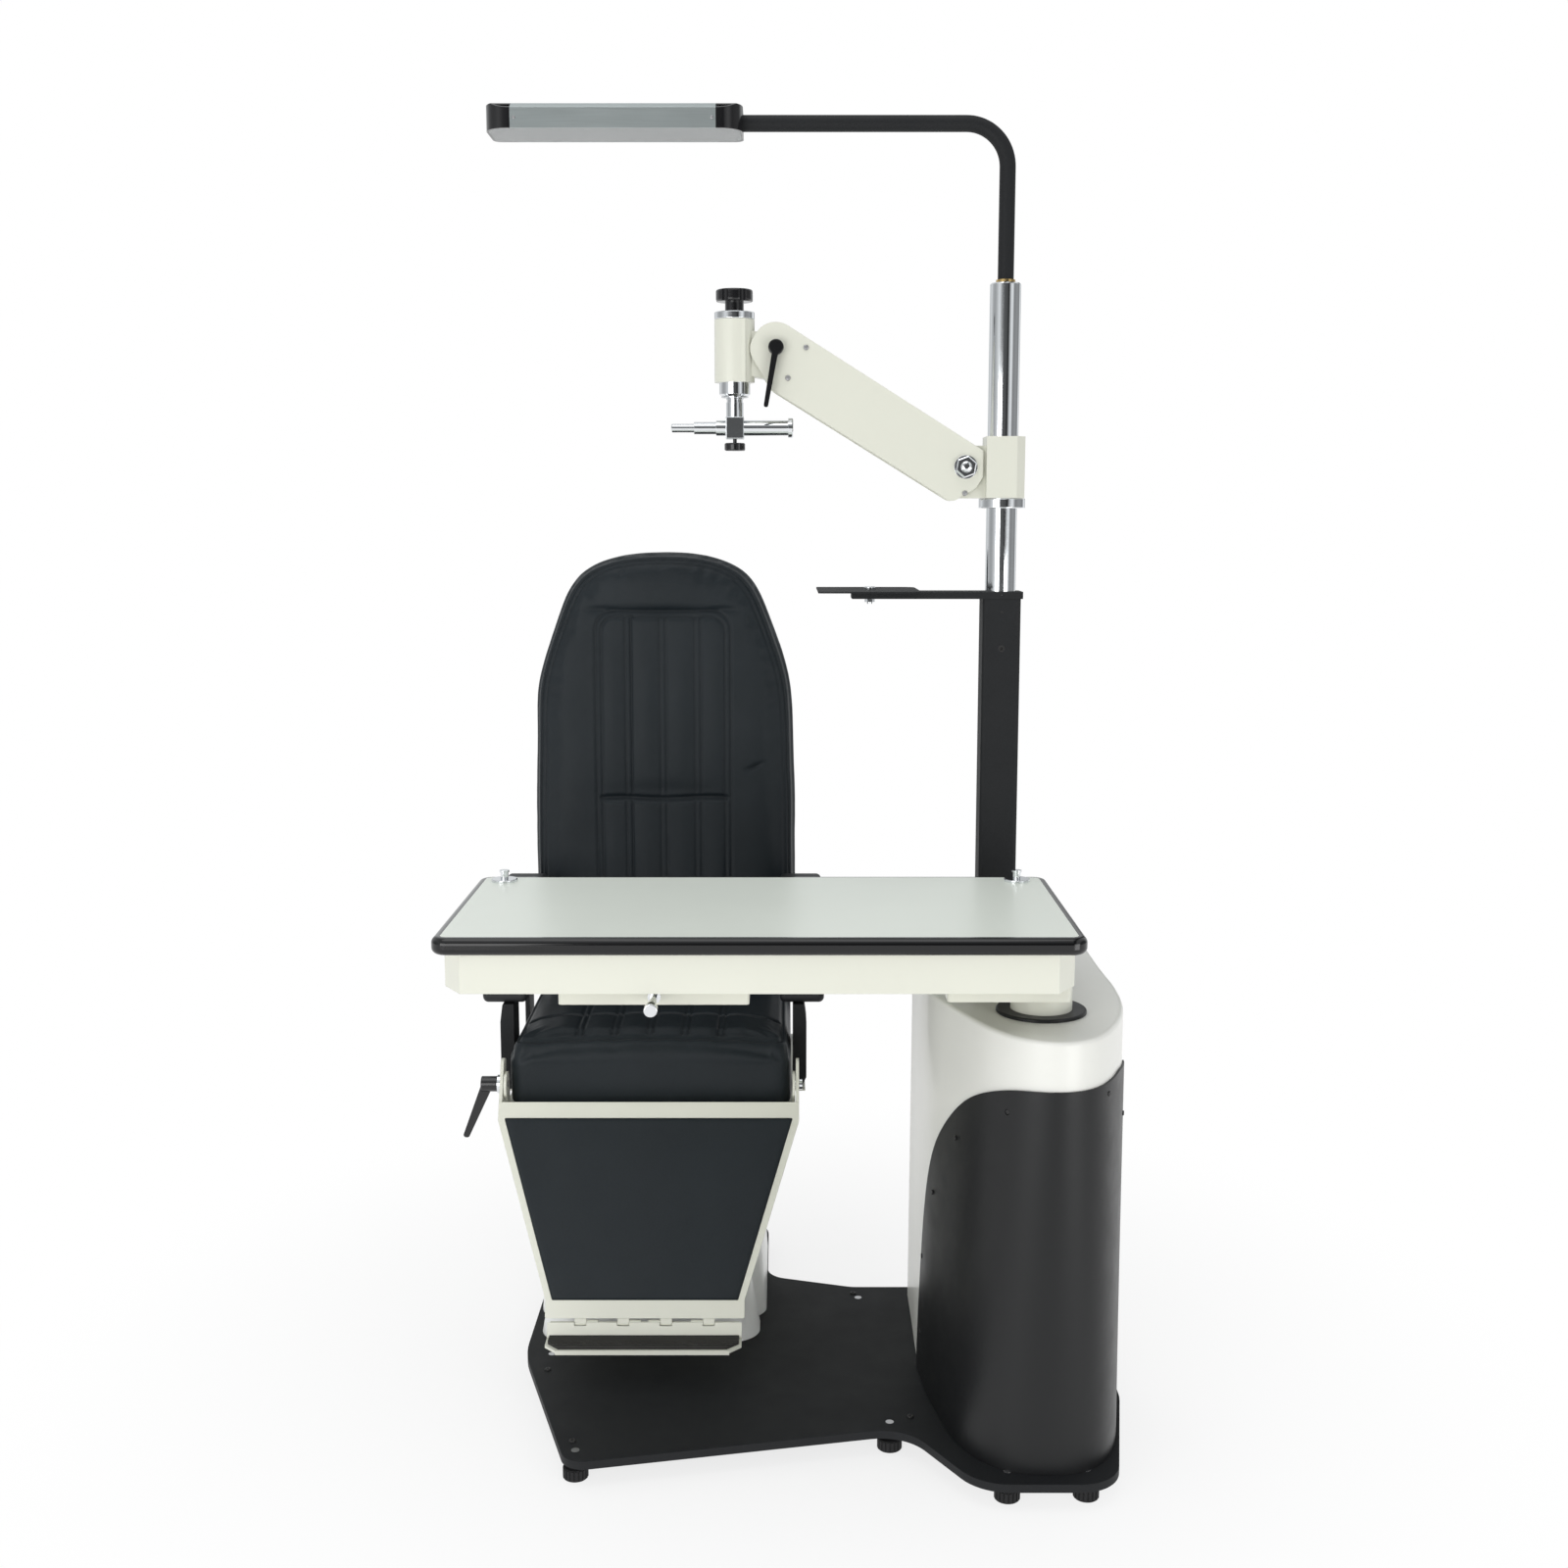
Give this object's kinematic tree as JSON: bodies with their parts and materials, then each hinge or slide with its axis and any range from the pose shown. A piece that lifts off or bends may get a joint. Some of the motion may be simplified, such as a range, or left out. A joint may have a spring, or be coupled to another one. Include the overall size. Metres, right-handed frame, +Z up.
{
  "type": "ophthalmic unit",
  "caption": "Eye examination unit: reclining patient chair on a lifting base, swinging instrument table, and a column with lamp, tray and sprung instrument arm.",
  "frame": {"origin": "middle of the floor space that the whole unit covers, at floor level", "axes": "+Z up, -Y the way that the patient faces, +X towards the instrument cabinet and column"},
  "size_m": [1.0191, 1.014, 1.959],
  "materials": {
    "black_coat": "matt textured black powder coat",
    "foot_rubber": "matt moulded rubber",
    "bright_steel": "turned and zinc plated",
    "dull_steel": "drawn, lightly oiled",
    "cabinet_white": "satin white powder coat",
    "panel_black": "satin moulded black",
    "screw_black": "blackened button heads",
    "chrome": "polished",
    "brass": "turned",
    "cover_grey": "light grey moulded cover",
    "cream_enamel": "smooth cream enamel",
    "laminate": "board faced with pale satin laminate",
    "edging_black": "glossy black bullnose edging",
    "knob_black": "glossy black moulding",
    "lamp_aluminium": "brushed and anodised",
    "lens_clear": "prismatic diffuser",
    "led_board": "lamp board",
    "black_vinyl": "grained black vinyl, stitched",
    "arm_black": "soft moulded black",
    "tread_rubber": "ribbed black rubber"
  },
  "bodies": {
    "base": {"base_plate": "black_coat", "levelling_feet": "foot_rubber", "foot_studs": "bright_steel", "cabinet_shell": "cabinet_white", "front_panel": "panel_black", "cover_screws": "screw_black", "table_lift_tube": "dull_steel", "column_ring": "panel_black", "supply_box": "cabinet_white", "power_inlet": "panel_black", "column_post": "black_coat", "chrome_column": "chrome", "lamp_bush": "brass", "stop_ring": "chrome", "pedestal_cover": "cover_grey", "toe_cover": "cover_grey", "chair_guide": "dull_steel"},
    "tray_arm": {"tray_bar": "black_coat", "tray_bolt": "chrome"},
    "tray": {"tray_plate": "black_coat"},
    "table_lift": {"table_column": "cream_enamel"},
    "table": {"support_plate": "cream_enamel", "table_screws": "bright_steel", "apron": "cream_enamel", "table_board": "laminate", "table_edging": "edging_black", "instrument_studs": "chrome", "under_box": "cream_enamel"},
    "lock_rod": {"lock_rod": "chrome"},
    "clamp": {"clamp_block": "cream_enamel", "clamp_pins": "chrome"},
    "arm": {"arm_casing": "cream_enamel"},
    "link": {"arm_link": "bright_steel"},
    "head": {"head_block": "cream_enamel", "head_pins": "chrome", "head_rings": "chrome"},
    "arm_lever": {"arm_lever": "knob_black"},
    "top_knob": {"top_knob": "knob_black"},
    "spindle": {"spindle": "chrome"},
    "cross_bar": {"cross_bar": "chrome"},
    "star_knob": {"star_knob": "knob_black"},
    "lamp_arm": {"lamp_tube": "black_coat"},
    "lamp_head": {"lamp_body": "lamp_aluminium", "lamp_caps": "knob_black", "lamp_lens": "lens_clear", "led_strip": "led_board"},
    "chair_lift": {"lift_sleeve": "cream_enamel", "seat_frame": "cream_enamel", "seat_cushion": "black_vinyl", "arm_supports": "black_coat", "pivot_pins": "chrome"},
    "armrest_right": {"armrest_right": "arm_black"},
    "armrest_left": {"armrest_left": "arm_black"},
    "backrest": {"back_cushion": "black_vinyl", "back_frame": "cream_enamel"},
    "leg_rest": {"leg_frame": "cream_enamel", "leg_pad": "black_vinyl"},
    "clamp_lever": {"clamp_lever": "knob_black"},
    "footplate": {"footplate": "cream_enamel", "foot_tread": "tread_rubber"}
  },
  "joints": [
    {"name": "chair_height", "type": "slide", "parent": "base", "child": "chair_lift", "axis": [0, 0, 1], "range_m": [0, 0.15]},
    {"name": "backrest_recline", "type": "hinge", "parent": "chair_lift", "child": "backrest", "pos_m": [-0.2084, 0.447, 0.452], "axis": [-1, 0, 0], "range_deg": [0, 45]},
    {"name": "armrest_right_lift", "type": "hinge", "parent": "chair_lift", "child": "armrest_right", "pos_m": [0.0361, 0.369, 0.68], "axis": [-1, 0, 0], "range_deg": [0, 90]},
    {"name": "armrest_left_lift", "type": "hinge", "parent": "chair_lift", "child": "armrest_left", "pos_m": [-0.4529, 0.369, 0.68], "axis": [-1, 0, 0], "range_deg": [0, 90]},
    {"name": "leg_rest_swing", "type": "hinge", "parent": "chair_lift", "child": "leg_rest", "pos_m": [-0.2084, -0.004, 0.443], "axis": [-1, 0, 0], "range_deg": [0, 60]},
    {"name": "footplate_fold", "type": "hinge", "parent": "leg_rest", "child": "footplate", "pos_m": [-0.2084, -0.1659, 0.1128], "axis": [-1, 0, 0], "range_deg": [0, 90]},
    {"name": "clamp_lever_turn", "type": "hinge", "parent": "chair_lift", "child": "clamp_lever", "pos_m": [-0.4664, -0.004, 0.443], "axis": [1, 0, 0], "range_deg": [-60, 60]},
    {"name": "table_height", "type": "slide", "parent": "base", "child": "table_lift", "axis": [0, 0, 1], "range_m": [0, 0.15]},
    {"name": "table_swing", "type": "hinge", "parent": "table_lift", "child": "table", "pos_m": [0.3746, -0.291, 0.7], "axis": [0, 0, 1], "range_deg": [0, 60]},
    {"name": "lock_rod_pull", "type": "slide", "parent": "table", "child": "lock_rod", "axis": [0, -1, 0], "range_m": [0, 0.012]},
    {"name": "tray_arm_swing", "type": "hinge", "parent": "base", "child": "tray_arm", "pos_m": [0.3496, 0.079, 1.216], "axis": [0, 0, 1], "range_deg": [-20, 70]},
    {"name": "tray_turn", "type": "hinge", "parent": "tray_arm", "child": "tray", "pos_m": [0.1426, 0.079, 1.216], "axis": [0, 0, 1], "range_deg": [-90, 90]},
    {"name": "clamp_swing", "type": "hinge", "parent": "base", "child": "clamp", "pos_m": [0.3496, 0.079, 1.4205], "axis": [0, 0, 1], "range_deg": [-15, 60]},
    {"name": "arm_lift", "type": "hinge", "parent": "clamp", "child": "arm", "pos_m": [0.2899, 0.079, 1.4205], "axis": [0, 1, 0], "range_deg": [-25, 8]},
    {"name": "link_lift", "type": "hinge", "parent": "clamp", "child": "link", "pos_m": [0.2899, 0.079, 1.3865], "axis": [0, 1, 0], "range_deg": [-25, 8]},
    {"name": "head_level", "type": "hinge", "parent": "arm", "child": "head", "pos_m": [-0.00573, 0.079, 1.60181], "axis": [0, 1, 0], "range_deg": [-8, 25]},
    {"name": "arm_lever_turn", "type": "hinge", "parent": "head", "child": "arm_lever", "pos_m": [-0.00573, 0.079, 1.60181], "axis": [0, 1, 0], "range_deg": [-40, 40]},
    {"name": "top_knob_turn", "type": "hinge", "parent": "head", "child": "top_knob", "pos_m": [-0.07033, 0.079, 1.60181], "axis": [0, 0, 1], "range_deg": [-180, 180]},
    {"name": "spindle_turn", "type": "hinge", "parent": "head", "child": "spindle", "pos_m": [-0.07033, 0.079, 1.60181], "axis": [0, 0, 1], "range_deg": [-90, 90]},
    {"name": "cross_bar_slide", "type": "slide", "parent": "spindle", "child": "cross_bar", "axis": [1, 0, 0], "range_m": [-0.06, 0.01]},
    {"name": "star_knob_turn", "type": "hinge", "parent": "spindle", "child": "star_knob", "pos_m": [-0.07033, 0.079, 1.60181], "axis": [0, 0, 1], "range_deg": [-180, 180]},
    {"name": "lamp_arm_swing", "type": "hinge", "parent": "base", "child": "lamp_arm", "pos_m": [0.3496, 0.079, 1.701], "axis": [0, 0, 1], "range_deg": [-45, 90]},
    {"name": "lamp_tilt", "type": "hinge", "parent": "lamp_arm", "child": "lamp_head", "pos_m": [-0.2504, 0.079, 1.938], "axis": [1, 0, 0], "range_deg": [-45, 45]}
  ],
  "couplings": [
    {"joint": "link_lift", "follows": "arm_lift", "ratio": 1},
    {"joint": "head_level", "follows": "arm_lift", "ratio": -1}
  ]
}
